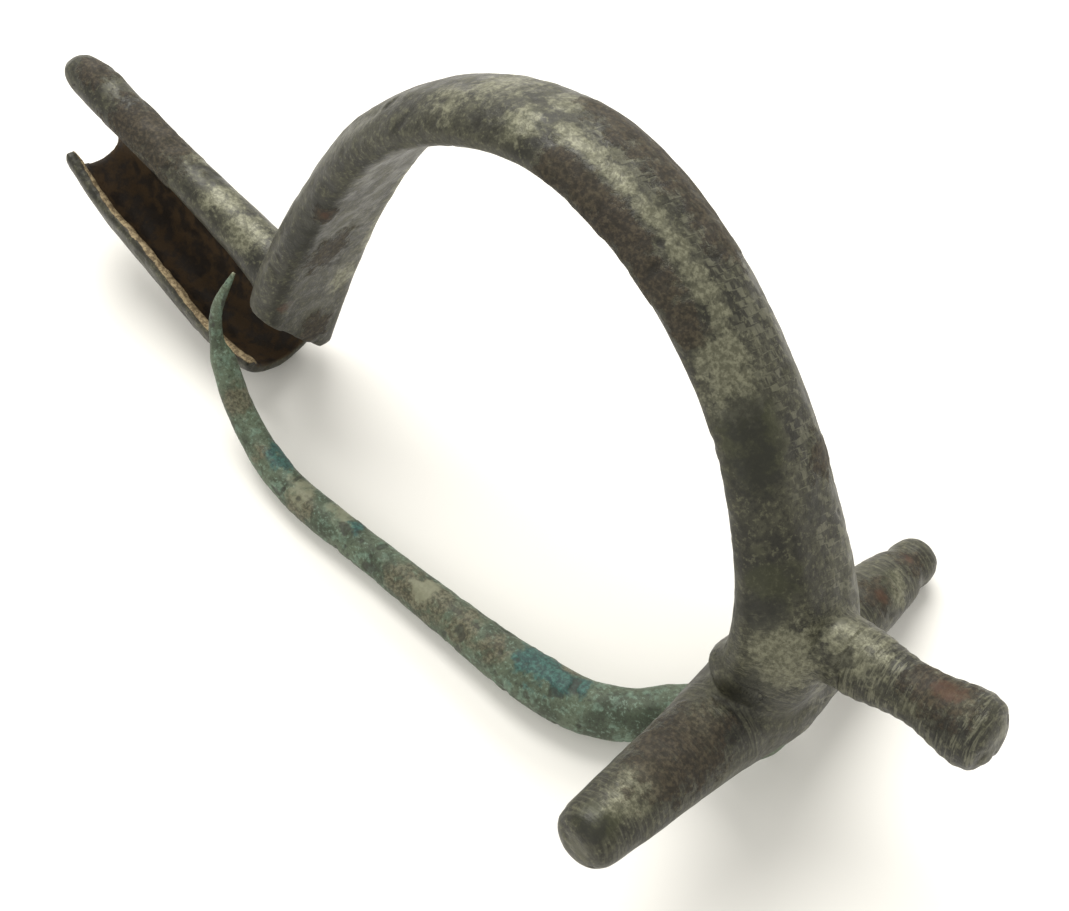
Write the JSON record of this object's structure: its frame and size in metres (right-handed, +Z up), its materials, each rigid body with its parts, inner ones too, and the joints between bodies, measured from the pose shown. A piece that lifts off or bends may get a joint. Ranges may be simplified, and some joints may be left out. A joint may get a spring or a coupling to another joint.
{
  "type": "fibula brooch",
  "caption": "Arched bow brooch with a crossbar, a forward knob, a long side-opening catch and a bent hinged pin, lying on its side as found.",
  "frame": {"origin": "the middle of the underside of the whole part's bounding box, on the table it lies on", "axes": "+X from the foot to the crossbar end, +Z up from the table; the brooch leans to one side as it lies, so its own bow plane is turned about X and then a little about Y"},
  "size_m": [0.0646, 0.0252, 0.0265],
  "materials": {
    "bronze_patina": "dark olive-grey bronze patina, scuffed pale and rough",
    "green_patina": "grey-green corroded copper alloy with teal spots"
  },
  "bodies": {
    "brooch": {"brooch_body": "bronze_patina", "hinge_axle": "bronze_patina"},
    "pin": {"pin": "green_patina"}
  },
  "joints": [
    {"name": "pin_hinge", "type": "hinge", "parent": "brooch", "child": "pin", "pos_m": [0.02177, -0.00077, 0.00398], "axis": [0.0484, -0.9225, 0.3829], "range_deg": [0, 100]}
  ]
}
